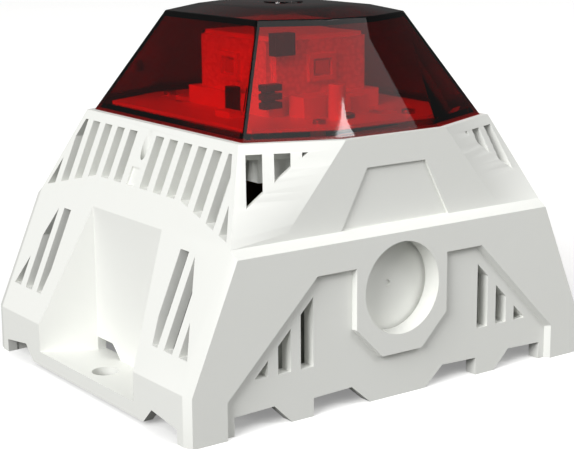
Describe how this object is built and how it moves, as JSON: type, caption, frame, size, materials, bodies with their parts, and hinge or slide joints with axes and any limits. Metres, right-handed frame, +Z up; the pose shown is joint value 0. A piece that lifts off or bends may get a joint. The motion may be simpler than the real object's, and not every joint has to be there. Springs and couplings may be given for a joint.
{
  "type": "alarm siren",
  "caption": "Louvred weatherproof sounder with a red faceted beacon lens, fixing pockets at two sides and knock-out cable entries at the other two.",
  "frame": {"origin": "centre of the footprint at the level the feet stand on", "axes": "+X towards one fixing pocket, +Y towards the rear cable entry, +Z up through the lens"},
  "size_m": [0.134, 0.107, 0.1026],
  "materials": {
    "white_abs": "fine moulded satin",
    "grey_abs": "fine moulded satin",
    "black_rubber": "matt",
    "brass": "turned",
    "steel": "zinc plated",
    "green_laminate": "solder resist",
    "green_plastic": "satin",
    "dark_sheet": "black coated sheet",
    "zinc_steel": "zinc plated",
    "ferrite": "ground",
    "amber_film": "pressed film",
    "copper": "enamelled winding",
    "blue_plastic": "satin",
    "white_plastic": "satin",
    "capacitor_sleeve": "shrunk sleeve",
    "black_plastic": "satin",
    "white_laminate": "solder resist",
    "phosphor": "cast silicone",
    "red_polycarbonate": "polished clear"
  },
  "bodies": {
    "siren": {"hood": "white_abs", "knockout_front": "white_abs", "knockout_back": "white_abs", "entry_seals": "black_rubber", "base_plate": "grey_abs", "base_seal": "black_rubber", "core_housing": "grey_abs", "thread_inserts": "brass", "cover_screws": "steel", "base_screws": "steel", "terminal_board": "green_laminate", "terminal_blocks": "green_plastic", "terminal_screws": "steel", "board_screws": "steel", "driver_frame": "dark_sheet", "driver_yoke": "zinc_steel", "ring_magnet": "ferrite", "front_pole_plate": "zinc_steel", "driver_screws": "steel", "sound_deflector": "grey_abs", "rain_baffle_left": "white_abs", "rain_baffle_right": "white_abs", "light_tray": "white_abs", "tray_screws": "steel", "lens_seal": "black_rubber", "sounder_board": "green_laminate", "tone_switch_body": "black_plastic", "volume_body": "blue_plastic", "capacitors": "capacitor_sleeve", "booster_coil": "copper", "control_chips": "black_plastic", "reflector_deck": "white_plastic", "deck_screws": "steel", "light_tower": "white_plastic", "lamp_boards": "white_laminate", "lamp_frames": "white_plastic", "lamp_chips": "phosphor", "tower_connector": "black_plastic", "flash_modules": "white_plastic", "flash_capacitor": "capacitor_sleeve"},
    "lens": {"lens": "red_polycarbonate"},
    "cone": {"diaphragm": "amber_film", "voice_coil": "copper"},
    "volume": {"volume_rotor": "white_plastic"},
    "tone_1": {"tone_slider_1": "white_plastic"},
    "tone_2": {"tone_slider_2": "white_plastic"},
    "tone_3": {"tone_slider_3": "white_plastic"},
    "tone_4": {"tone_slider_4": "white_plastic"},
    "tone_5": {"tone_slider_5": "white_plastic"}
  },
  "joints": [
    {"name": "lens_lift", "type": "slide", "parent": "siren", "child": "lens", "axis": [0, 0, 1], "range_m": [0, 0.045]},
    {"name": "cone_stroke", "type": "slide", "parent": "siren", "child": "cone", "axis": [0, 0, 1], "range_m": [-0.0005, 0.0005], "stiffness_N_per_m": 1500},
    {"name": "volume_turn", "type": "hinge", "parent": "siren", "child": "volume", "pos_m": [0.011, -0.0305, 0.068], "axis": [0, 0, 1], "range_deg": [0, 270]},
    {"name": "tone_slide_1", "type": "slide", "parent": "siren", "child": "tone_1", "axis": [1, 0, 0], "range_m": [0, 0.002]},
    {"name": "tone_slide_2", "type": "slide", "parent": "siren", "child": "tone_2", "axis": [1, 0, 0], "range_m": [0, 0.002]},
    {"name": "tone_slide_3", "type": "slide", "parent": "siren", "child": "tone_3", "axis": [1, 0, 0], "range_m": [0, 0.002]},
    {"name": "tone_slide_4", "type": "slide", "parent": "siren", "child": "tone_4", "axis": [1, 0, 0], "range_m": [0, 0.002]},
    {"name": "tone_slide_5", "type": "slide", "parent": "siren", "child": "tone_5", "axis": [1, 0, 0], "range_m": [0, 0.002]}
  ]
}
